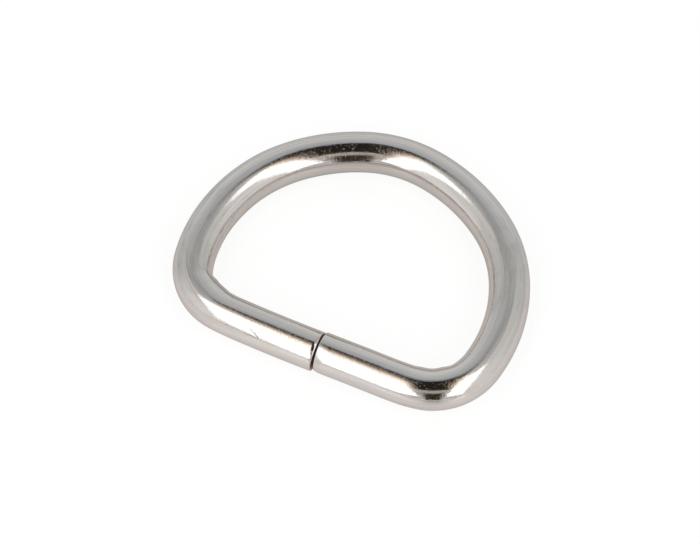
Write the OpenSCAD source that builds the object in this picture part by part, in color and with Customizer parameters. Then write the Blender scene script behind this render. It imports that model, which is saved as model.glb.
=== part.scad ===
// D ring bent from round wire, with an open butt joint in the middle of its straight bar.
// It lies flat on z = 0, with the bar along X and the bow towards +Y.

/* [Ring] */
// Clear width inside the ring, along the bar
inside_w = 25; // [20:0.5:40]
// Diameter of the wire
wire_d = 3.75; // [2.5:0.05:5]

/* [Joint] */
// Gap between the two cut ends of the wire
joint_gap = 0.15; // [0.05:0.05:0.3]
// How far the left end sits outside the right one
joint_step = 0.1; // [0:0.05:0.3]
// Rounding of the rim of each cut end
rim_r = 0.15; // [0.05:0.05:0.2]

/* [Hidden] */
$fn = 96;

nickel = [0.80, 0.79, 0.77];
wire_r = wire_d / 2;

// The wire's middle line, drawn for a ring of 25 mm and counted to the left from the joint.
// Columns of a bend: radius in mm, turn in degrees
RADIUS = 0;
TURN = 1;
drawn_bar = 8.8; // straight right half of the bar
drawn_bends = [
    [ 5.5, 79], // right corner
    [14.7, 36], // right side
    [12.4, 28], // right shoulder
    [16.9, 27], // crown, right of its top
    [11.9, 31], // crown, left of its top
    [17.5, 18], // left shoulder
    [14.3, 61], // left side
];
drawn_bow = [160, 3]; // left half of the bar, which bows out a little

// Move of the middle line along an arc, between two headings in degrees from +X
function arc_move(radius, from, to) = radius * [sin(to) - sin(from), cos(from) - cos(to)];

// Heading at the start of a bend, and the point there
function heading(bends, k) = k == 0 ? 0 : heading(bends, k - 1) + bends[k - 1][TURN];
function point(bends, bar, k) = k == 0
    ? [bar, 0]
    : point(bends, bar, k - 1)
        + arc_move(bends[k - 1][RADIUS], heading(bends, k - 1), heading(bends, k));

// Point where the line takes a heading that lies inside one of the bends
function turned_to(bends, bar, h, k = 0) = h <= heading(bends, k + 1)
    ? point(bends, bar, k) + arc_move(bends[k][RADIUS], heading(bends, k), h)
    : turned_to(bends, bar, h, k + 1);

// Scale that gives the clear width, with the wire at its own diameter
drawn_w = turned_to(drawn_bends, drawn_bar, 90).x - turned_to(drawn_bends, drawn_bar, 270).x;
size_k = (inside_w + wire_d) / drawn_w;
bar = size_k * drawn_bar;
bow = [size_k * drawn_bow[RADIUS], drawn_bow[TURN]];
open_bends = [for (b = drawn_bends) [size_k * b[RADIUS], b[TURN]]];

// The left corner turns the line onto the bow, with the radius that brings its end to the step
side_heading = heading(open_bends, len(open_bends));
side_end = point(open_bends, bar, len(open_bends));
bow_heading = 360 - bow[TURN];
bow_move = arc_move(bow[RADIUS], bow_heading, 360);
corner_r = (-joint_step - side_end.y - bow_move.y) / arc_move(1, side_heading, bow_heading).y;
bends = concat(open_bends, [[corner_r, bow_heading - side_heading], bow]);
left_stub = -point(bends, bar, len(bends)).x;

// Middle of the ring seen from above, which is the origin
right_x = turned_to(bends, bar, 90).x + wire_r;
left_x = turned_to(bends, bar, 270).x - wire_r;
top_y = turned_to(bends, bar, 180).y + wire_r;
bottom_y = -joint_step - wire_r;
middle = [(right_x + left_x) / 2, (top_y + bottom_y) / 2];

// Sets a piece at a point of the plane, the hundredths first and then the rest, so that
// neighbouring pieces keep a common seam when the numbers are written out short
module at(p) {
    coarse = [round(p.x * 100) / 100, round(p.y * 100) / 100];
    translate(coarse)
        translate(p - coarse)
            children();
}

// Straight wire from the origin along +X, to a cut end with a rounded rim
module cut_wire(length) {
    rotate([0, 90, 0])
        rotate_extrude()
            union() {
                square([wire_r - rim_r, length]);
                square([wire_r, length - rim_r]);
                translate([wire_r - rim_r, length - rim_r])
                    circle(rim_r);
            }
}

// Wire through one bend
module bent_wire(k) {
    from = heading(bends, k);
    radius = bends[k][RADIUS];
    at(point(bends, bar, k) + radius * [-sin(from), cos(from)])
        rotate_extrude(angle = bends[k][TURN], start = from - 90)
            at([radius, 0])
                circle(wire_r);
}

module wire_ring() {
    color(nickel)
        at(-middle)
            translate([0, 0, wire_r]) {
                at([bar, 0])
                    mirror([1, 0, 0])
                        cut_wire(bar - joint_gap / 2);
                for (k = [0 : len(bends) - 1])
                    bent_wire(k);
                at([-left_stub, -joint_step])
                    cut_wire(left_stub - joint_gap / 2);
            }
}

wire_ring();
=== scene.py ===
from math import ceil, cos, pi, radians, sin

import bpy
import numpy as np
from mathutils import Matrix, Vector


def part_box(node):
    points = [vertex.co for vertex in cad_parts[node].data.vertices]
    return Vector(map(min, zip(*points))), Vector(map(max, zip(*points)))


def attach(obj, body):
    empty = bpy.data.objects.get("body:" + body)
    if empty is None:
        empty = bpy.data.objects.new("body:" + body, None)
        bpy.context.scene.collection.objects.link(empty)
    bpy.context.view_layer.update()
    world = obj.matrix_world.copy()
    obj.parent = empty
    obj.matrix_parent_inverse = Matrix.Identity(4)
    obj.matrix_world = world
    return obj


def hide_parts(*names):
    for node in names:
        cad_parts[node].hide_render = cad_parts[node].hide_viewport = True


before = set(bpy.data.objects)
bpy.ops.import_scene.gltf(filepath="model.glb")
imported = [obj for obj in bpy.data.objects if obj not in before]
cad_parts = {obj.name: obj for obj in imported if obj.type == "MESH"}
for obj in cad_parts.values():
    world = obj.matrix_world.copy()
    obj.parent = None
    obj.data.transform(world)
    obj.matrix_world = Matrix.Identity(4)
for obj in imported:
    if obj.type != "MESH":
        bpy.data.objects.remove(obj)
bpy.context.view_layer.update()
print("frame loaded")

mm = 0.001

# The bent wire. Lengths in mm, turns in degrees, counted to the left from the joint in the bar
wire = {
    "drawnBar": 8.8,                       # straight right half of the bar
    "drawnBends": [                        # radius and turn, as drawn for a 25 mm ring
        (5.5, 79),                         # right corner
        (14.7, 36),                        # right side
        (12.4, 28),                        # right shoulder
        (16.9, 27),                        # crown, right of its top
        (11.9, 31),                        # crown, left of its top
        (17.5, 18),                        # left shoulder
        (14.3, 61),                        # left side
    ],
    "drawnBow": (160, 3),                  # left half of the bar, which bows out a little
    "jointGap": 0.13,
    "jointStep": 0.1,                      # how far the left end sits outside the right one
    "jointShift": 0.15,                    # the joint's place, right of the bar's middle
    "around": 96,                          # vertices round the wire
    "ringStep": 0.16,                      # spacing of the rings along the wire
    "endStep": 0.045,                      # spacing close to the cut ends
    "endLength": 1.2,
    "rightRim": 0.09,                      # rounding of the two rims
    "leftRim": 0.12,
    "rimSteps": 7,
    "faceRings": (0.8, 0.5, 0.2),          # rings across the cut faces, as shares of their radius
    "smoothAngle": 40,                     # edges sharper than this stay sharp
}

# How bending left the wire out of round. Places are mm along the wire and degrees round it, from the
# side inside the ring (0) over the top (90) to the outer side (180)
swells = {
    "rightCornerCrease": (11.0, 1.3, 15, 45, 0.055),      # along, length, around, width, height
    "rightCornerBulge": (9.5, 0.65, 15, 45, 0.10),
    "rightCornerRidge": (12.2, 0.4, 15, 45, 0.06),
    "rightCornerPinch": (13.7, 0.5, 15, 40, -0.045),
    "rightCornerDraw": (9.4, 0.6, 195, 50, -0.045),
    "rightCornerFlat": (6.6, 1.3, 195, 50, 0.035),
    "rightCornerSqueeze": (6.6, 0.9, 15, 45, -0.02),
    "rightSideFlat": (12.6, 1.5, 195, 50, 0.035),
    "leftCornerPinch": (68.9, 0.75, 12, 45, -0.13),
    "leftCornerDraw": (73.0, 0.8, 200, 45, -0.04),
    "shoulderFlat": (55.2, 1.2, 160, 40, 0.03),
    "crownFlat": (51.0, 1.8, -20, 40, 0.02),
    "leftShoulderSwell": (60.0, 1.3, 10, 45, 0.03),
}

# Places pressed flat by the bending tool, in the same terms, with sharp edges
flats = {
    "leftCornerFlat": (71.9, 1.95, 12, 48, 0.145),
    "leftCornerKink": (70.0, 0.65, 12, 48, 0.075),
    "leftCornerEnd": (73.0, 0.5, 12, 48, -0.035),
}

# What cropping did to the two ends
ends = {
    "rightDrop": (0.95, 0.105, 185, 47),   # length, depth, around and width of the roll-over
    "leftDrop": (0.42, 0.100, 90, 38),
    "rightLean": 0.10,                     # how far the right face opens towards the outer side
    "rightBack": (40, 30, 0.05),           # around, width and depth of the chip off its inner side
    "leftLips": [(100, 34, 0.07), (5, 20, 0.10)],  # around, width and reach of the lips on the left face
    "lean": 1.2,                           # length over which the faces pull the wire with them
}


def deselectAll():
    if bpy.context.object and bpy.context.object.mode != "OBJECT":
        bpy.ops.object.mode_set(mode="OBJECT")
    bpy.ops.object.select_all(action="DESELECT")


# Move along a bend between two headings, in degrees from +X
def bendMove(radius, start, end):
    a, b = radians(start), radians(end)
    return Vector((sin(b) - sin(a), cos(a) - cos(b), 0)) * radius


# Point of the wire's middle line where it takes a heading
def pointTurnedTo(bends, bar, heading):
    point = Vector((bar, 0, 0))
    turned = 0
    for radius, turn in bends:
        step = min(turn, heading - turned)
        point += bendMove(radius, turned, turned + step)
        turned += step
        if turned >= heading:
            break
    return point


# Works out the runs of the wire in mm, as (length, radius, turn), and where the first one starts
def layOutWire(boxLow, boxHigh):
    size = (boxHigh - boxLow) / mm
    wireWidth = size.z
    bends = wire["drawnBends"]
    bar = wire["drawnBar"]
    drawnWidth = pointTurnedTo(bends, bar, 90).x - pointTurnedTo(bends, bar, 270).x
    scale = (size.x - wireWidth) / drawnWidth
    bar *= scale
    bends = [(radius * scale, turn) for radius, turn in bends]
    bow = (wire["drawnBow"][0] * scale, wire["drawnBow"][1])
    turned = sum(turn for radius, turn in bends)
    cornerTurn = 360 - bow[1] - turned
    sideEnd = pointTurnedTo(bends, bar, turned)
    bowDrop = bendMove(bow[0], 360 - bow[1], 360).y
    cornerRise = bendMove(1, turned, turned + cornerTurn).y
    cornerRadius = (-wire["jointStep"] - sideEnd.y - bowDrop) / cornerRise
    bends += [(cornerRadius, cornerTurn), bow]
    stub = -pointTurnedTo(bends, bar, 360).x
    rightFace = wire["jointShift"] + wire["jointGap"] / 2
    leftFace = wire["jointShift"] - wire["jointGap"] / 2
    runs = [(bar - rightFace - wire["rightRim"], 0, 0)]
    runs += [(radius * radians(turn), radius, turn) for radius, turn in bends]
    runs += [(stub + leftFace - wire["leftRim"], 0, 0)]
    left = pointTurnedTo(bends, bar, 270).x - wireWidth / 2
    bottom = -wire["jointStep"] - wireWidth / 2
    start = boxLow / mm + Vector((rightFace + wire["rightRim"] - left, -bottom, wireWidth / 2))
    return runs, start, wireWidth / 2


# Bends the wire round: a circle at the joint, extruded along the bar and spun through each bend
def bendWire():
    low, high = (Vector(corner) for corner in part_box("wire_ring"))
    runs, start, radius = layOutWire(low, high)
    deselectAll()
    bpy.ops.mesh.primitive_circle_add(vertices=wire["around"], radius=radius * mm,
                                      location=start * mm, rotation=(0, pi / 2, 0))
    ring = bpy.context.object
    ring.name = "BentWire"
    bpy.ops.object.transform_apply(location=True, rotation=True, scale=True)
    bpy.ops.object.mode_set(mode="EDIT")
    bpy.ops.mesh.select_all(action="SELECT")
    point, heading = start.copy(), 0.0
    along = wire["rightRim"]
    stations = [(along, point.copy(), heading)]
    for length, bendRadius, turn in runs:
        forward = Vector((cos(radians(heading)), sin(radians(heading)), 0))
        side = Vector((-forward.y, forward.x, 0))
        if turn:
            steps = ceil(length / wire["ringStep"])
            centre = point + side * bendRadius
            bpy.ops.mesh.spin(steps=steps, angle=-radians(turn), center=centre * mm, axis=(0, 0, 1))
            for step in range(steps):
                point = point + bendMove(bendRadius, heading, heading + turn / steps)
                heading += turn / steps
                along += length / steps
                stations.append((along, point.copy(), heading))
            continue
        fine = min(length, wire["endLength"])
        fineSteps = ceil(fine / wire["endStep"])
        moves = [fine / fineSteps] * fineSteps
        if length > fine:
            coarseSteps = ceil((length - fine) / wire["ringStep"])
            moves += [(length - fine) / coarseSteps] * coarseSteps
        for move in moves:
            bpy.ops.mesh.extrude_region_move(TRANSFORM_OT_translate={"value": forward * move * mm})
            point = point + forward * move
            along += move
            stations.append((along, point.copy(), heading))
    bpy.ops.object.mode_set(mode="OBJECT")
    return ring, stations, radius


# Closes a cut end: the ring of vertices there is drawn in over the rounded rim, then filled. Gives
# back the stations of the new rings
def closeEnd(ring, first, station, radius, rim, direction):
    around = wire["around"]
    mesh = ring.data
    bpy.ops.object.mode_set(mode="EDIT")
    bpy.ops.mesh.select_mode(type="EDGE")
    bpy.ops.mesh.select_all(action="DESELECT")
    bpy.ops.object.mode_set(mode="OBJECT")
    for edge in mesh.edges:
        edge.select = all(first <= vertex < first + around for vertex in edge.vertices)
    bpy.ops.object.mode_set(mode="EDIT")
    rims = []
    for step in range(1, wire["rimSteps"] + 1):
        angle = pi / 2 * step / wire["rimSteps"]
        rims.append((rim * sin(angle), radius - rim * (1 - cos(angle))))
    rims += [(rim, (radius - rim) * share) for share in wire["faceRings"]]
    along, centre, heading = station
    reach, width = 0.0, radius
    added = []
    for newReach, newWidth in rims:
        move = Vector((direction * (newReach - reach), 0, 0))
        bpy.ops.mesh.extrude_region_move(TRANSFORM_OT_translate={"value": move * mm})
        bpy.ops.transform.resize(value=(1, newWidth / width, newWidth / width),
                                 center_override=centre * mm)
        reach, width = newReach, newWidth
        added.append((along + direction * reach, centre + Vector((direction * reach, 0, 0)), heading))
    bpy.ops.mesh.edge_face_add()
    bpy.ops.mesh.select_mode(type="VERT")
    bpy.ops.object.mode_set(mode="OBJECT")
    return added


# Moves the vertices out of round by the swells and flats, the roll-over and the lean of the cut faces,
# and stores each vertex's place in the straight wire
def workWire(ring, stations, radius, length):
    count = wire["around"]
    total = len(stations) * count
    places = np.empty(total * 3)
    ring.data.vertices.foreach_get("co", places)
    places = places.reshape(-1, count, 3) / mm
    along = np.array([station[0] for station in stations])[:, None]
    centres = np.array([station[1][:] for station in stations])[:, None, :]
    headings = np.radians([station[2] for station in stations])[:, None]
    forward = np.stack([np.cos(headings), np.sin(headings), 0 * headings], axis=-1)
    inward = np.stack([-np.sin(headings), np.cos(headings), 0 * headings], axis=-1)
    offset = places - centres
    width = np.linalg.norm(offset, axis=-1)
    around = np.degrees(np.arctan2(offset[..., 2], (offset * inward).sum(-1)))
    outwards = offset / np.maximum(width, 1e-9)[..., None]

    def bell(distance, size):
        return np.exp(-(distance / size) ** 2 / 2)

    def turnFrom(degree):
        return (around - degree + 180) % 360 - 180

    push = np.zeros_like(around)
    for centre, reach, degree, spread, height in swells.values():
        push += height * bell(along - centre, reach) * bell(turnFrom(degree), spread)
    push *= np.where(push > 0, np.cos(np.radians(around)) ** 2, 1)
    for centre, reach, degree, spread, height in flats.values():
        push += height * np.clip(1 - ((along - centre) / reach) ** 2, 0, 1) * np.clip(
            1 - (turnFrom(degree) / spread) ** 2, 0, 1)
    for distance, (reach, depth, degree, spread) in ((along, ends["rightDrop"]),
                                                     (length - along, ends["leftDrop"])):
        push -= depth * np.clip(1 - distance / reach, 0, 1) ** 2 * bell(turnFrom(degree), spread)
    pull = ends["rightLean"] * (1 - np.cos(np.radians(around))) / 2 * np.exp(-along / ends["lean"])
    degree, spread, chip = ends["rightBack"]
    pull += chip * bell(turnFrom(degree), spread) * np.exp(-along / ends["lean"])
    for degree, spread, lip in ends["leftLips"]:
        pull += lip * bell(turnFrom(degree), spread) * np.exp(-(length - along) / ends["lean"])
    share = width / radius
    places += outwards * (push * share)[..., None] + forward * (pull * share)[..., None]
    ring.data.vertices.foreach_set("co", (places * mm).ravel())

    straight = np.stack([along + 0 * around, width * np.cos(np.radians(around)),
                         width * np.sin(np.radians(around))], axis=-1)
    attribute = ring.data.attributes.new("straightWire", "FLOAT_VECTOR", "POINT")
    attribute.data.foreach_set("vector", straight.ravel())
    ring.data.update()


ring, stations, wireRadius = bendWire()
lastRing = len(stations) - 1
wireLength = stations[-1][0] + wire["leftRim"]
print("wire bent:", len(stations), "rings,", round(wireLength, 2), "mm long")
lastStation = stations[-1]
stations += closeEnd(ring, 0, stations[0], wireRadius, wire["rightRim"], -1)
stations += closeEnd(ring, lastRing * wire["around"], lastStation, wireRadius, wire["leftRim"], 1)
workWire(ring, stations, wireRadius, wireLength)
print("ends closed:", len(ring.data.vertices), "vertices")

bpy.ops.object.mode_set(mode="EDIT")
bpy.ops.mesh.select_all(action="SELECT")
bpy.ops.mesh.normals_make_consistent(inside=False)
bpy.ops.object.mode_set(mode="OBJECT")
bpy.ops.object.shade_smooth_by_angle(angle=radians(wire["smoothAngle"]))

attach(ring, "root")
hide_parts("wire_ring")


# Sets a socket's value, or links another socket to it
def plug(tree, socket, value):
    if isinstance(value, bpy.types.NodeSocket):
        tree.links.new(value, socket)
    else:
        socket.default_value = value


def mathNode(tree, operation, *values, clamp=False):
    node = tree.nodes.new("ShaderNodeMath")
    node.operation = operation
    node.use_clamp = clamp
    for socket, value in zip(node.inputs, values):
        plug(tree, socket, value)
    return node.outputs[0]


def times(tree, first, second):
    return mathNode(tree, "MULTIPLY", first, second)


def vectorNode(tree, operation, *values):
    node = tree.nodes.new("ShaderNodeVectorMath")
    node.operation = operation
    for socket, value in zip(node.inputs, values):
        plug(tree, socket, value)
    return node.outputs["Value" if operation in ("LENGTH", "DISTANCE", "DOT_PRODUCT") else "Vector"]


# A soft step from low to high as the value goes from one number to the other
def softStep(tree, value, start, end, low=0.0, high=1.0):
    node = tree.nodes.new("ShaderNodeMapRange")
    node.interpolation_type = "SMOOTHSTEP"
    plug(tree, node.inputs["Value"], value)
    for name, number in (("From Min", start), ("From Max", end), ("To Min", low), ("To Max", high)):
        plug(tree, node.inputs[name], number)
    return node.outputs[0]


def mixColours(tree, share, first, second, blend="MIX"):
    node = tree.nodes.new("ShaderNodeMix")
    node.data_type = "RGBA"
    node.blend_type = blend
    plug(tree, node.inputs["Factor"], share)
    for socket, value in ((node.inputs[6], first), (node.inputs[7], second)):
        plug(tree, socket, value if isinstance(value, bpy.types.NodeSocket) else (*value, 1))
    return node.outputs[2]


def darkened(colour, share):
    return tuple(part * share for part in colour)


def colourRamp(tree, value, stops, smooth="EASE"):
    ramp = tree.nodes.new("ShaderNodeValToRGB")
    ramp.color_ramp.interpolation = smooth
    low, high = stops[0][0], stops[-1][0]
    elements = ramp.color_ramp.elements
    while len(elements) < len(stops):
        elements.new(0.5)
    for element, (place, colour) in zip(elements, stops):
        element.position = (place - low) / (high - low)
        element.color = (*colour, 1)
    spread = tree.nodes.new("ShaderNodeMapRange")
    plug(tree, spread.inputs["Value"], value)
    spread.inputs["From Min"].default_value = low
    spread.inputs["From Max"].default_value = high
    tree.links.new(spread.outputs[0], ramp.inputs[0])
    return ramp.outputs[0]


def noise(tree, place, scale, detail=2.0, roughness=0.5):
    node = tree.nodes.new("ShaderNodeTexNoise")
    plug(tree, node.inputs["Vector"], place)
    plug(tree, node.inputs["Scale"], scale)
    node.inputs["Detail"].default_value = detail
    node.inputs["Roughness"].default_value = roughness
    return node.outputs["Fac"]


def mixNumbers(tree, share, first, second):
    node = tree.nodes.new("ShaderNodeMix")
    plug(tree, node.inputs["Factor"], share)
    plug(tree, node.inputs["A"], first)
    plug(tree, node.inputs["B"], second)
    return node.outputs[0]


# Starts a node group with the given inputs and outputs
def startGroup(name, inputs, outputs):
    group = bpy.data.node_groups.new(name, "ShaderNodeTree")
    for socketName, kind, value in inputs:
        socket = group.interface.new_socket(name=socketName, in_out="INPUT", socket_type=kind)
        if value is not None:
            socket.default_value = value
    for socketName in outputs:
        group.interface.new_socket(name=socketName, in_out="OUTPUT", socket_type="NodeSocketFloat")
    return group, group.nodes.new("NodeGroupInput").outputs, group.nodes.new("NodeGroupOutput").inputs


def useGroup(tree, group, **values):
    node = tree.nodes.new("ShaderNodeGroup")
    node.node_tree = group
    for name, value in values.items():
        plug(tree, node.inputs[name], value)
    return node.outputs


# Orange peel of the plating, in mm of height: soft waves, and pimples where a finer noise is high
def makePeel():
    group, given, result = startGroup("PlatingPeel", [
        ("Place", "NodeSocketVector", None), ("Fineness", "NodeSocketFloat", 2.2),
        ("Depth", "NodeSocketFloat", 0.003), ("PimpleFineness", "NodeSocketFloat", 4.5),
        ("PimpleDepth", "NodeSocketFloat", 0.0)], ["Height"])
    waves = noise(group, given["Place"], given["Fineness"], detail=1.5)
    height = times(group, mathNode(group, "SUBTRACT", waves, 0.5), given["Depth"])
    grain = noise(group, given["Place"], given["PimpleFineness"], detail=1, roughness=0.6)
    pimpleStart = 0.57
    pimples = mathNode(group, "MAXIMUM", mathNode(group, "SUBTRACT", grain, pimpleStart), 0.0)
    height = mathNode(group, "MULTIPLY_ADD", pimples, given["PimpleDepth"], height)
    group.links.new(height, result["Height"])
    return group


# Long lines that the drawing die left along the wire, in mm of height
def makeDrawnLines():
    group, given, result = startGroup("DrawnLines", [
        ("Place", "NodeSocketVector", None), ("Fineness", "NodeSocketFloat", 4.0),
        ("Stretch", "NodeSocketFloat", 40.0), ("Depth", "NodeSocketFloat", 0.0005)], ["Height"])
    shrink = group.nodes.new("ShaderNodeCombineXYZ")
    group.links.new(mathNode(group, "DIVIDE", 1.0, given["Stretch"]), shrink.inputs[0])
    shrink.inputs[1].default_value = 1
    shrink.inputs[2].default_value = 1
    place = vectorNode(group, "MULTIPLY", given["Place"], shrink.outputs[0])
    lines = noise(group, place, given["Fineness"], detail=3, roughness=0.6)
    height = times(group, mathNode(group, "SUBTRACT", lines, 0.5), given["Depth"])
    group.links.new(height, result["Height"])
    return group


# Scattered pin pricks in the plating: their depth in mm, and a mask
def makePricks():
    group, given, result = startGroup("PlatingPricks", [
        ("Place", "NodeSocketVector", None), ("Spacing", "NodeSocketFloat", 0.8),
        ("Size", "NodeSocketFloat", 0.05), ("Depth", "NodeSocketFloat", 0.01),
        ("Picked", "NodeSocketFloat", 0.45)], ["Height", "Mask"])
    cells = group.nodes.new("ShaderNodeTexVoronoi")
    group.links.new(given["Place"], cells.inputs["Vector"])
    group.links.new(mathNode(group, "DIVIDE", 1.0, given["Spacing"]), cells.inputs["Scale"])
    reach = times(group, cells.outputs["Distance"], given["Spacing"])
    mask = mathNode(group, "SUBTRACT", 1.0, softStep(group, reach, 0.0, given["Size"]))
    picked = group.nodes.new("ShaderNodeSeparateColor")
    group.links.new(cells.outputs["Color"], picked.inputs[0])
    mask = times(group, mask, mathNode(group, "LESS_THAN", picked.outputs[0], given["Picked"]))
    mask = times(group, mask, picked.outputs[1])
    group.links.new(mask, result["Mask"])
    group.links.new(times(group, mask, times(group, given["Depth"], -1.0)), result["Height"])
    return group


peel, drawnLines, pricks = makePeel(), makeDrawnLines(), makePricks()

nickel = {
    "colour": (0.690, 0.673, 0.652),
    "roughness": (0.02, 0.05),
    "cloud": 0.6,                          # fineness of the patches that it changes in, per mm
    "cloudEdges": (0.3, 0.7),              # where in them one roughness turns to the other
    "peel": (2.2, 0.004),                  # waves per mm and depth in mm
    "pimples": (9.0, 0.011),
    "grains": (0.13, 0.052, 0.0062),       # spacing, size and depth of the pits where it was bent
    "stretched": (((2.5, 5.0), (15.0, 12.5)), ((34.0, 39.0), (59.0, 55.0))),  # bends with the most grain
    "elsewhere": 0.4,                      # its depth on the rest of the wire
    "lines": (3.2, 0.010),                 # drawn lines across a mm, and their depth
    "streaked": (((19.0, 24.0), (34.0, 30.0)), ((56.0, 60.0), (74.0, 71.0))),  # where they show most
    "lineGain": 2.2,                       # how much deeper they are there
    "stripes": (0.7, (0.60, 0.59, 0.58)),  # share and colour of the faint stripes along the lines
    "stripeEdges": (0.35, 0.65),
    "threads": (5.0, 0.38),                # fineness and darkness of the thin ones
    "threadWidth": 0.035,                  # of the lines' own spread
    "threadColour": 0.3,                   # as a share of the nickel's
    "threadShare": (0.8, 0.2),             # more of them where it is streaked, and everywhere
    "threadPatches": (0.35, 0.6),          # where in the clouds they come up
    "rubEdge": 0.6,                        # how far in from its edge a rub is full
    "rubStreaks": ((0.35, 0.6), (0.3, 1.0)),  # how the lines break up a rub
    "mirrored": 0.30,                      # roughness where it mirrors itself
    "edge": (0.70, 0.70, 0.70),            # how much it still reflects at its outline
    "pricks": (0.36, 0.055, 0.007),        # spacing, size and depth, in mm
    "prickTint": (0.2, 0.45),              # share and darkness
}

# Single marks in the plating, as (along, around, length, width, depth) in mm and degrees
marks = {
    "crownSpark": (47.08, 69, 0.10, 0.05, 0.012),
    "nickTop": (76.80, 128, 0.16, 0.06, 0.010),
    "nickMiddle": (77.10, 133, 0.20, 0.07, 0.012),
    "nickFoot": (77.42, 139, 0.16, 0.08, 0.012),
    "nickSpur": (77.64, 147, 0.08, 0.20, 0.020),
    "shoulderSpeck": (37.24, 32, 0.09, 0.05, 0.014),
    "sideSpeck": (29.94, 40, 0.09, 0.06, 0.014),
    "leftSideBump": (64.60, 79, 0.25, 0.12, -0.008),
}

# Places in the plating with their own colour and roughness, as (along, around, length, width), darkness and
# roughness: rubbed places, a darker, rougher patch on the left corner's pressed flat, and a painted
# highlight at the nick's spur
patchesAndPaintedGlint = {
    # A darker, rougher patch on the left corner's pressed flat
    "leftCornerFlat": ((71.2, 30, 1.8, 0.50), 0.60, 0.22),
    "leftCornerSide": ((71.6, 48, 2.4, 0.50), 0.85, 0.12),
    # Painted highlight: a darkness of 1.40 makes the colour lighter where the spur glints
    "nickSpur": ((77.68, 149, 0.08, 0.24), 1.40, 0.10),
    "edgeSpeck": ((74.50, 142, 0.24, 0.15), 0.60, 0.15),
    "edgeRub": ((75.40, 141, 1.20, 0.11), 0.75, 0.10),
    "leftLip": ((82.80, 105, 0.22, 0.55), 0.95, 0.24),
}

# Scratches between two places on the wire (along, around): half width in mm, darkness and roughness
scratches = {
    "nickTop": ((76.62, 127), (77.18, 133.5), 0.13, 0.62, 0.20),
    "nickFoot": ((77.18, 133.5), (77.62, 142), 0.15, 0.52, 0.20),
    "nickLine": ((76.20, 142.5), (77.35, 144.5), 0.10, 0.62, 0.15),
}


def onWire(along, degree):
    angle = radians(degree)
    return Vector((along, wireRadius * cos(angle), wireRadius * sin(angle)))


# A node that is 1 on the line between two places on the wire and falls to 0 at the width from it
def strokeAt(tree, place, start, end, width):
    first, last = onWire(*start), onWire(*end)
    run = last - first
    fromFirst = vectorNode(tree, "SUBTRACT", place, first)
    share = mathNode(tree, "DIVIDE", vectorNode(tree, "DOT_PRODUCT", fromFirst, run), run.length_squared,
                     clamp=True)
    nearest = vectorNode(tree, "SCALE", run)
    plug(tree, nearest.node.inputs["Scale"], share)
    reach = vectorNode(tree, "LENGTH", vectorNode(tree, "SUBTRACT", fromFirst, nearest))
    return softStep(tree, reach, width, 0.0)


# A node that is 1 at a place on the wire and falls to 0 at the given length and width from it
def markAt(tree, place, along, degree, length, width):
    toMark = vectorNode(tree, "SUBTRACT", place, onWire(along, degree))
    reach = vectorNode(tree, "LENGTH", vectorNode(tree, "DIVIDE", toMark, (length, width, width)))
    return softStep(tree, reach, 1.0, 0.0)


# Starts a metal that knows each point's place in the straight wire
def startMetal(name):
    material = bpy.data.materials.new(name)
    material.use_nodes = True
    tree = material.node_tree
    shader = tree.nodes["Principled BSDF"]
    shader.inputs["Metallic"].default_value = 1
    attribute = tree.nodes.new("ShaderNodeAttribute")
    attribute.attribute_name = "straightWire"
    return material, tree, shader, attribute.outputs["Vector"]


# Gives a shader the relief of a height in mm
def addRelief(tree, shader, height):
    bump = tree.nodes.new("ShaderNodeBump")
    bump.inputs["Strength"].default_value = 1
    bump.inputs["Distance"].default_value = mm
    tree.links.new(height, bump.inputs["Height"])
    tree.links.new(bump.outputs[0], shader.inputs["Normal"])


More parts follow.
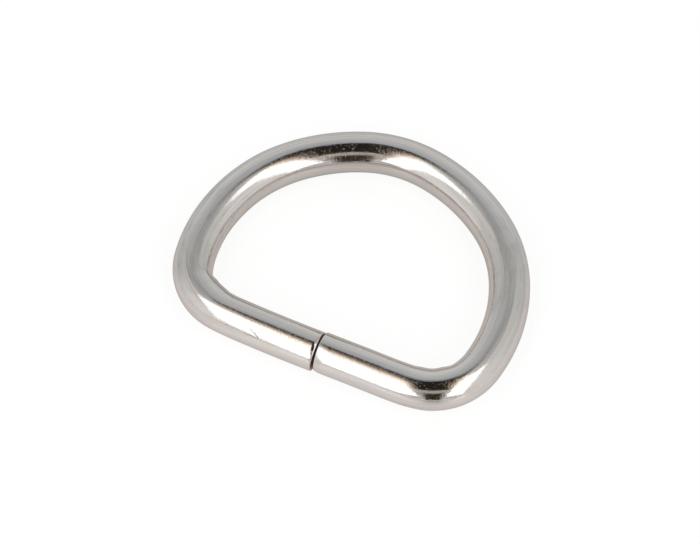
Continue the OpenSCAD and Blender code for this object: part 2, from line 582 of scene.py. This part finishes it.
def makeNickel():
    material, tree, shader, place = startMetal("PolishedNickel")
    parts = tree.nodes.new("ShaderNodeSeparateXYZ")
    tree.links.new(place, parts.inputs[0])
    along = parts.outputs[0]

    # One number on the given stretches of the wire and another elsewhere
    def overStretches(stretches, low, high):
        result = low
        for rise, fall in stretches:
            inside = times(tree, softStep(tree, along, *rise), softStep(tree, along, *fall))
            result = mixNumbers(tree, inside, result, high)
        return result

    # Relief
    stretched = overStretches(nickel["stretched"], nickel["elsewhere"], 1.0)
    streaked = overStretches(nickel["streaked"], 0.0, 1.0)
    pimpleFineness, pimpleDepth = nickel["pimples"]
    height = useGroup(tree, peel, Place=place, Fineness=nickel["peel"][0], Depth=nickel["peel"][1],
                      PimpleFineness=pimpleFineness, PimpleDepth=pimpleDepth)["Height"]
    spacing, size, depth = nickel["grains"]
    grains = useGroup(tree, pricks, Place=place, Spacing=spacing, Size=size,
                      Depth=times(tree, stretched, depth), Picked=1.0)
    height = mathNode(tree, "ADD", height, grains["Height"])
    lineFineness, lineDepth = nickel["lines"]
    lines = useGroup(tree, drawnLines, Place=place, Fineness=lineFineness, Depth=lineDepth)["Height"]
    lineGain = mathNode(tree, "MULTIPLY_ADD", streaked, nickel["lineGain"] - 1, 1.0)
    height = mathNode(tree, "MULTIPLY_ADD", lines, lineGain, height)
    spacing, size, depth = nickel["pricks"]
    holes = useGroup(tree, pricks, Place=place, Spacing=spacing, Size=size, Depth=depth)
    height = mathNode(tree, "ADD", height, holes["Height"])
    for *mark, depth in marks.values():
        height = mathNode(tree, "SUBTRACT", height, times(tree, markAt(tree, place, *mark), depth))
    addRelief(tree, shader, height)

    # Colour, with stripes and threads along the drawn lines
    cloud = noise(tree, place, nickel["cloud"], detail=3)
    streaks = mathNode(tree, "MULTIPLY_ADD", lines, 1 / lineDepth, 0.5)
    share, dark = nickel["prickTint"]
    tint = mixColours(tree, times(tree, holes["Mask"], share), nickel["colour"],
                      darkened(nickel["colour"], dark))
    share, colour = nickel["stripes"]
    tint = mixColours(tree, softStep(tree, streaks, *nickel["stripeEdges"], 0.0, share), tint, colour)
    fineness, dark = nickel["threads"]
    threads = useGroup(tree, drawnLines, Place=place, Fineness=fineness, Depth=1.0)["Height"]
    threads = softStep(tree, mathNode(tree, "ABSOLUTE", threads), nickel["threadWidth"], 0.0, 0.0, dark)
    threads = times(tree, threads, mathNode(tree, "MULTIPLY_ADD", streaked, *nickel["threadShare"]))
    threads = times(tree, threads, softStep(tree, cloud, *nickel["threadPatches"]))
    tint = mixColours(tree, threads, tint, darkened(nickel["colour"], nickel["threadColour"]))

    # Rubs, scratches, a darker, rougher patch on the left corner's flat, and a painted highlight at the
    # nick's spur
    roughness = softStep(tree, cloud, *nickel["cloudEdges"], *nickel["roughness"])
    edges, shares = nickel["rubStreaks"]
    streaky = softStep(tree, streaks, *edges, *shares)
    patchMasksAndPaintedGlint = [(times(tree, softStep(tree, markAt(tree, place, *where), 0.0, nickel["rubEdge"]), streaky),
             dark, rough) for where, dark, rough in patchesAndPaintedGlint.values()]
    patchMasksAndPaintedGlint += [(strokeAt(tree, place, *stroke), dark, rough) for *stroke, dark, rough in scratches.values()]
    for share, dark, rough in patchMasksAndPaintedGlint:
        roughness = mixNumbers(tree, share, roughness, rough)
        tint = mixColours(tree, share, tint, darkened(nickel["colour"], dark))
    mirrored = tree.nodes.new("ShaderNodeLightPath").outputs["Is Glossy Ray"]
    blurred = times(tree, mirrored, nickel["mirrored"])
    tree.links.new(mathNode(tree, "MAXIMUM", roughness, blurred), shader.inputs["Roughness"])
    shader.inputs["Specular Tint"].default_value = (*nickel["edge"], 1)
    tree.links.new(tint, shader.inputs["Base Color"])
    return material


cutFace = {
    "colour": (0.50, 0.38, 0.31),
    "roughness": 0.55,
    "tear": (4.0, 0.03),                   # fineness per mm and depth in mm
    "stain": (2.0, 0.6),                   # fineness per mm and darkness
    "platedRim": 0.5,                      # how far down the rounded rims the plating reaches
}


# The cropped faces in the joint, torn and hardly plated
def makeCutFace():
    material, tree, shader, place = startMetal("CroppedFace")
    fineness, depth = cutFace["tear"]
    addRelief(tree, shader, useGroup(tree, peel, Place=place, Fineness=fineness, Depth=depth)["Height"])
    fineness, dark = cutFace["stain"]
    stain = mixColours(tree, noise(tree, place, fineness, detail=3), cutFace["colour"],
                       darkened(cutFace["colour"], dark))
    tree.links.new(stain, shader.inputs["Base Color"])
    shader.inputs["Roughness"].default_value = cutFace["roughness"]
    return material


ring.data.materials.append(makeNickel())
ring.data.materials.append(makeCutFace())
perEnd = wire["rimSteps"] + len(wire["faceRings"])
for face in ring.data.polygons:
    beyond = [vertex // wire["around"] - lastRing - 1 for vertex in face.vertices]
    torn = all(step >= 0 and step % perEnd >= wire["rimSteps"] * cutFace["platedRim"] for step in beyond)
    face.material_index = int(torn)
print("nickel ready")

# Camera at the photograph's angle, aimed at a place in mm
camera = {
    "azimuth": 23.7,
    "elevation": 61.2,
    "lens": 300,
    "sensor": 36,
    "distance": 531.365,
    "target": (-1.0468, -1.1532, 0.0),
}


def addCamera():
    turn, rise = radians(camera["azimuth"]), radians(camera["elevation"])
    back = Vector((sin(turn) * cos(rise), -cos(turn) * cos(rise), sin(rise)))
    data = bpy.data.cameras.new("Camera")
    data.lens = camera["lens"]
    data.sensor_width = camera["sensor"]
    viewer = bpy.data.objects.new("Camera", data)
    viewer.location = (Vector(camera["target"]) + back * camera["distance"]) * mm
    viewer.rotation_euler = (-back).to_track_quat("-Z", "Y").to_euler()
    bpy.context.scene.collection.objects.link(viewer)
    bpy.context.scene.camera = viewer


addCamera()

# The light tent, as the ring sees it. Places are degrees from straight up, measured across the
# camera's view and away from the camera; colours are radiance in scene units
tent = {
    "walls": [                              # place away from the camera, colour
        (-110, (0.93, 0.86, 0.82)),
        (-70, (0.98, 0.91, 0.88)),
        (-36, (1.10, 1.05, 1.03)),
        (-12, (1.01, 0.98, 0.96)),
        (3, (0.87, 0.85, 0.83)),
        (30, (0.73, 0.73, 0.72)),
        (60, (0.67, 0.68, 0.67)),
        (110, (0.69, 0.69, 0.68)),
    ],
    "backWall": [
        (4, (0.84, 0.80, 0.76)),
        (16, (0.62, 0.60, 0.58)),
        (24, (0.51, 0.51, 0.485)),
        (27, (0.60, 0.59, 0.55)),
        (31, (0.625, 0.61, 0.59)),
        (38, (0.665, 0.66, 0.66)),
        (48, (0.72, 0.735, 0.745)),
        (68, (0.85, 0.85, 0.84)),
        (90, (0.98, 0.92, 0.89)),
        (110, (0.73, 0.72, 0.71)),
    ],
    "backStart": (1, 8),                    # where it takes over from the walls
    "backEdge": (33, 30, 1.05),             # its half width, where, and its widening per degree
    "backBlur": 2.5,
    "backTint": (0.80, 0.89, 1.11),         # next to the opening,
    "tintAcross": (13, 4),                  # which comes in over these places across
    "tintAway": (35, 22),                   # and away
    "fold": (5.0, 0.09),                    # width and darkness of the fold along that edge
    "foldStart": (20, 32),
    "opening": [                            # across the front opening, from its middle to the softboxes
        (0, (0.024, 0.022, 0.020)),
        (6.0, (0.032, 0.026, 0.022)),
        (8.2, (0.095, 0.062, 0.042)),
        (10.1, (0.34, 0.25, 0.18)),
        (12.0, (0.78, 0.62, 0.47)),
        (14.0, (1.38, 1.18, 0.98)),
        (16.0, (1.90, 1.75, 1.58)),
        (18.6, (2.2, 2.2, 2.15)),
    ],
    "openingShift": 0.9,                    # how far right of the middle it is
    "openingEnds": (-34.5, 22.0),
    "openingBlur": (3.0, 1.0),              # of its two ends
    "openingSides": (21, 19),               # where its light gives way to the softboxes
    "openingTaper": (0.10, 0.07),           # its widening per degree, and more of it below straight up
    "openingFoot": (0.14, 0.10, 0.06),      # brownish light at its near end,
    "footStart": (-22, -36),                # and where that begins
    "openingTip": (0.045, 0.07, 0.14),      # bluish light at its far end,
    "tipStart": (-4, 1),                    # and where that begins, from the end
    "tipSides": (0.6, 0.55, 0.5),           # light on both sides of the tip,
    "tipAcross": (3, 10),                   # and where that begins
    "softbox": (2.2, 2.2, 2.2),
    "softboxOuter": (36.5, -0.165),         # place at 0 and its slope
    "softboxEnds": (-69.5, 2.0),
    "softboxBlur": (4, 4.0, 3.0),           # of its outer side and its two ends
    "aboveBoxes": (-1, 4),                  # where the opening is no lighter than the wall, from their end
    "frame": (-80, 0.70),                   # where the frame below the softboxes ends, and its darkness
    "frameBlur": (3, 2.0),                  # of its outer side and its ends
    "stand": (0.052, 0.038, 0.022),         # the dark stand in front of the tent
    "standTop": (0.13, 0.15, 0.21),
    "standTopHeight": 8,
    "standShift": 1.5,                      # how far right of the middle it is
    "standHalfWidth": (7.5, -0.07),         # at straight up, and its growth with the place
    "standSides": (4.5, -4.0),              # where its sides fade out and are full, from that width
    "standEnds": (-86, -45.5),
    "standBlur": 1.5,                       # of its ends
    "between": (0.62, 0.55, 0.48),          # light between the opening and the stand
    "betweenBlur": 3.0,
    "paper": (1.0, 1.0, 1.0),
    "power": 0.877,
}


def buildTent():
    world = bpy.data.worlds.new("LightTent")
    bpy.context.scene.world = world
    world.use_nodes = True
    tree = world.node_tree
    tree.nodes.clear()
    direction = tree.nodes.new("ShaderNodeTexCoord").outputs["Generated"]
    turned = tree.nodes.new("ShaderNodeVectorRotate")
    turned.rotation_type = "Z_AXIS"
    turned.inputs["Angle"].default_value = -radians(camera["azimuth"])
    tree.links.new(direction, turned.inputs["Vector"])
    parts = tree.nodes.new("ShaderNodeSeparateXYZ")
    tree.links.new(turned.outputs[0], parts.inputs[0])
    x, y, z = parts.outputs
    flat = mathNode(tree, "SQRT", mathNode(tree, "ADD", times(tree, x, x), times(tree, y, y)))
    flat = mathNode(tree, "MAXIMUM", flat, 1e-5)
    fromTop = mathNode(tree, "DEGREES", mathNode(tree, "ARCTAN2", flat, z))
    sideways = times(tree, fromTop, mathNode(tree, "DIVIDE", x, flat))
    across = mathNode(tree, "ABSOLUTE", sideways)
    away = times(tree, fromTop, mathNode(tree, "DIVIDE", y, flat))

    # 1 between two places away from the camera, with blurred ends
    def band(near, far, blur, farBlur=None):
        farBlur = farBlur or blur
        return times(tree, softStep(tree, away, near - blur, near + blur),
                     softStep(tree, away, far + farBlur, far - farBlur))

    # A colour times another
    def tinted(colour, tint):
        return mixColours(tree, 1.0, colour, tint, "MULTIPLY")

    # The walls, with the fold along the edge of the back one
    colour = colourRamp(tree, away, tent["walls"])
    halfWidth, place, widening = tent["backEdge"]
    edge = mathNode(tree, "MAXIMUM", halfWidth, mathNode(
        tree, "MULTIPLY_ADD", away, widening, halfWidth - place * widening))
    fromEdge = mathNode(tree, "SUBTRACT", across, edge)
    inBack = times(tree, softStep(tree, fromEdge, tent["backBlur"], -tent["backBlur"]),
                   softStep(tree, away, *tent["backStart"]))
    backWall = colourRamp(tree, away, tent["backWall"])
    nearOpening = times(tree, softStep(tree, across, *tent["tintAcross"]),
                        softStep(tree, away, *tent["tintAway"]))
    backWall = mixColours(tree, nearOpening, backWall, tinted(backWall, tent["backTint"]))
    colour = mixColours(tree, inBack, colour, backWall)
    foldWidth, foldDark = tent["fold"]
    fold = softStep(tree, mathNode(tree, "ABSOLUTE", fromEdge), foldWidth, 0, 0.0, foldDark)
    fold = times(tree, fold, softStep(tree, away, *tent["foldStart"]))
    colour = tinted(colour, mixColours(tree, fold, (1, 1, 1), (0, 0, 0)))

    # The softboxes and their frame
    start, slope = tent["softboxOuter"]
    outer = mathNode(tree, "SUBTRACT", mathNode(tree, "MULTIPLY_ADD", away, slope, start), across)
    boxNear, boxFar = tent["softboxEnds"]
    low, dark = tent["frame"]
    blur, endBlur = tent["frameBlur"]
    framed = times(tree, softStep(tree, outer, -blur, blur), band(low, boxNear, endBlur))
    colour = mixColours(tree, framed, colour, tinted(colour, (dark,) * 3))
    blur, nearBlur, farBlur = tent["softboxBlur"]
    lit = times(tree, softStep(tree, outer, -blur, blur), band(boxNear, boxFar, nearBlur, farBlur))
    colour = mixColours(tree, lit, colour, tent["softbox"])

    # The opening between the softboxes
    taper, lowerTaper = tent["openingTaper"]
    fromGap = mathNode(tree, "ABSOLUTE", mathNode(tree, "SUBTRACT", sideways, tent["openingShift"]))
    tapered = mathNode(tree, "MULTIPLY_ADD", away, taper, fromGap)
    tapered = mathNode(tree, "MULTIPLY_ADD", mathNode(tree, "MINIMUM", away, 0.0), lowerTaper, tapered)
    gap = colourRamp(tree, tapered, tent["opening"], "LINEAR")
    foot = mixColours(tree, 1.0, gap, tent["openingFoot"], "LIGHTEN")
    gap = mixColours(tree, softStep(tree, away, *tent["footStart"]), gap, foot)
    light = mixColours(tree, 1.0, gap, tent["between"], "LIGHTEN")
    near, far = tent["openingEnds"]
    inGap = band(near, far, *tent["openingBlur"])
    tip = mixColours(tree, softStep(tree, across, *tent["tipAcross"]), tent["openingTip"], tent["tipSides"])
    tipLow, tipHigh = tent["tipStart"]
    gap = mixColours(tree, softStep(tree, away, far + tipLow, far + tipHigh), gap, tip)

    # The stand, and the light between it and the opening
    standNear, standFar = tent["standEnds"]
    standWidth, growth = tent["standHalfWidth"]
    fromStand = mathNode(tree, "ABSOLUTE", mathNode(tree, "SUBTRACT", sideways, tent["standShift"]))
    beside = mathNode(tree, "SUBTRACT", fromStand, mathNode(tree, "MULTIPLY_ADD", away, growth, standWidth))
    stand = times(tree, band(standNear, standFar, tent["standBlur"]),
                  softStep(tree, beside, *tent["standSides"]))
    middle = softStep(tree, across, *tent["openingSides"])
    lower = times(tree, middle, band(boxNear, near, tent["betweenBlur"]))
    colour = mixColours(tree, lower, colour, light)
    dark = mixColours(tree, softStep(tree, away, standFar - tent["standTopHeight"], standFar),
                      tent["stand"], tent["standTop"])
    colour = mixColours(tree, stand, colour, dark)
    aboveLow, aboveHigh = tent["aboveBoxes"]
    aboveBoxes = softStep(tree, away, boxFar + aboveLow, boxFar + aboveHigh)
    gap = mixColours(tree, aboveBoxes, gap, mixColours(tree, 1.0, gap, colour, "DARKEN"))
    colour = mixColours(tree, times(tree, inGap, middle), colour, gap)

    # The camera itself sees plain paper
    lamp = tree.nodes.new("ShaderNodeBackground")
    tree.links.new(colour, lamp.inputs["Color"])
    lamp.inputs["Strength"].default_value = tent["power"]
    paper = tree.nodes.new("ShaderNodeBackground")
    paper.inputs["Color"].default_value = (*tent["paper"], 1)
    rays = tree.nodes.new("ShaderNodeLightPath")
    mix = tree.nodes.new("ShaderNodeMixShader")
    tree.links.new(rays.outputs["Is Camera Ray"], mix.inputs[0])
    tree.links.new(lamp.outputs[0], mix.inputs[1])
    tree.links.new(paper.outputs[0], mix.inputs[2])
    output = tree.nodes.new("ShaderNodeOutputWorld")
    tree.links.new(mix.outputs[0], output.inputs["Surface"])


buildTent()

# The floor. Places in mm, beyond the ring's middle or from it
floorPaper = {
    "glow": (1.12, 1.12, 1.12),             # light of the sheet itself, as the camera sees it
    "front": (0.965, 0.900, 0.882),         # as the metal sees it, with painted light and shade by place: on the camera's side,
    "back": (0.820, 0.825, 0.825),          # beyond the ring
    "frontToBack": (-4, 14),
    "inside": (0.89, 0.855, 0.83),          # and how much darker inside the ring, a painted shade of the ring,
    "insideMiddle": 4,                      # around a place this far beyond the middle,
    "insideEdge": (16, 9),                  # this far from it,
    "farther": 1.15,                        # and brighter farther out, as painted light,
    "fartherFrom": (22, 45),                # from here on
    "lit": (0.85, 0.85, 0.85),              # colour where the tent lights it, as the camera sees it
    "litFromAbove": (0.2, 0.3),             # shares that the tent lights, which the ring can shade
    "satin": (0.25, 1.45),                  # roughness and refraction of its sheen
    "size": 4,                              # in m
}


# A pale sheet lit mostly from below
def layFloor():
    deselectAll()
    bpy.ops.mesh.primitive_plane_add(size=floorPaper["size"], location=(0, 0, 0))
    floor = bpy.context.object
    floor.name = "Floor"
    material = bpy.data.materials.new("PaleSheet")
    material.use_nodes = True
    tree = material.node_tree
    tree.nodes.clear()
    seen = tree.nodes.new("ShaderNodeLightPath").outputs["Is Camera Ray"]
    place = tree.nodes.new("ShaderNodeTexCoord").outputs["Object"]

    # A soft step between two places in mm
    def stepInMm(value, places, *levels):
        return softStep(tree, value, places[0] * mm, places[1] * mm, *levels)

    turn = radians(camera["azimuth"])
    # Painted light and shade in the colour that the metal's rays see: darker beyond the ring, darker inside
    # it and brighter farther out
    away = vectorNode(tree, "DOT_PRODUCT", place, (-sin(turn), cos(turn), 0))
    mirrored = mixColours(tree, stepInMm(away, floorPaper["frontToBack"]), floorPaper["front"],
                          floorPaper["back"])
    offset = floorPaper["insideMiddle"] * mm
    fromInside = vectorNode(tree, "LENGTH", vectorNode(
        tree, "SUBTRACT", place, (-sin(turn) * offset, cos(turn) * offset, 0)))
    mirrored = mixColours(tree, stepInMm(fromInside, floorPaper["insideEdge"]), mirrored,
                          mixColours(tree, 1.0, mirrored, floorPaper["inside"], "MULTIPLY"))
    fromMiddle = vectorNode(tree, "LENGTH", place)
    mirrored = vectorNode(tree, "MULTIPLY", mirrored, stepInMm(
        fromMiddle, floorPaper["fartherFrom"], 1.0, floorPaper["farther"]))
    glow = tree.nodes.new("ShaderNodeEmission")
    tree.links.new(mixColours(tree, seen, mirrored, floorPaper["glow"]), glow.inputs["Color"])
    diffuse = tree.nodes.new("ShaderNodeBsdfDiffuse")
    tree.links.new(mixColours(tree, seen, mirrored, floorPaper["lit"]), diffuse.inputs["Color"])
    sheet = tree.nodes.new("ShaderNodeMixShader")
    shareSeen, shareMirrored = floorPaper["litFromAbove"]
    tree.links.new(mixNumbers(tree, seen, shareMirrored, shareSeen), sheet.inputs[0])
    tree.links.new(glow.outputs[0], sheet.inputs[1])
    tree.links.new(diffuse.outputs[0], sheet.inputs[2])
    satin = tree.nodes.new("ShaderNodeBsdfGlossy")
    satin.inputs["Roughness"].default_value = floorPaper["satin"][0]
    fresnel = tree.nodes.new("ShaderNodeFresnel")
    fresnel.inputs["IOR"].default_value = floorPaper["satin"][1]
    coated = tree.nodes.new("ShaderNodeMixShader")
    tree.links.new(fresnel.outputs[0], coated.inputs[0])
    tree.links.new(sheet.outputs[0], coated.inputs[1])
    tree.links.new(satin.outputs[0], coated.inputs[2])
    output = tree.nodes.new("ShaderNodeOutputMaterial")
    tree.links.new(coated.outputs[0], output.inputs["Surface"])
    floor.data.materials.append(material)


layFloor()

scene = bpy.context.scene
scene.view_settings.view_transform = "Standard"
scene.view_settings.look = "None"
print("tent, floor and camera ready")
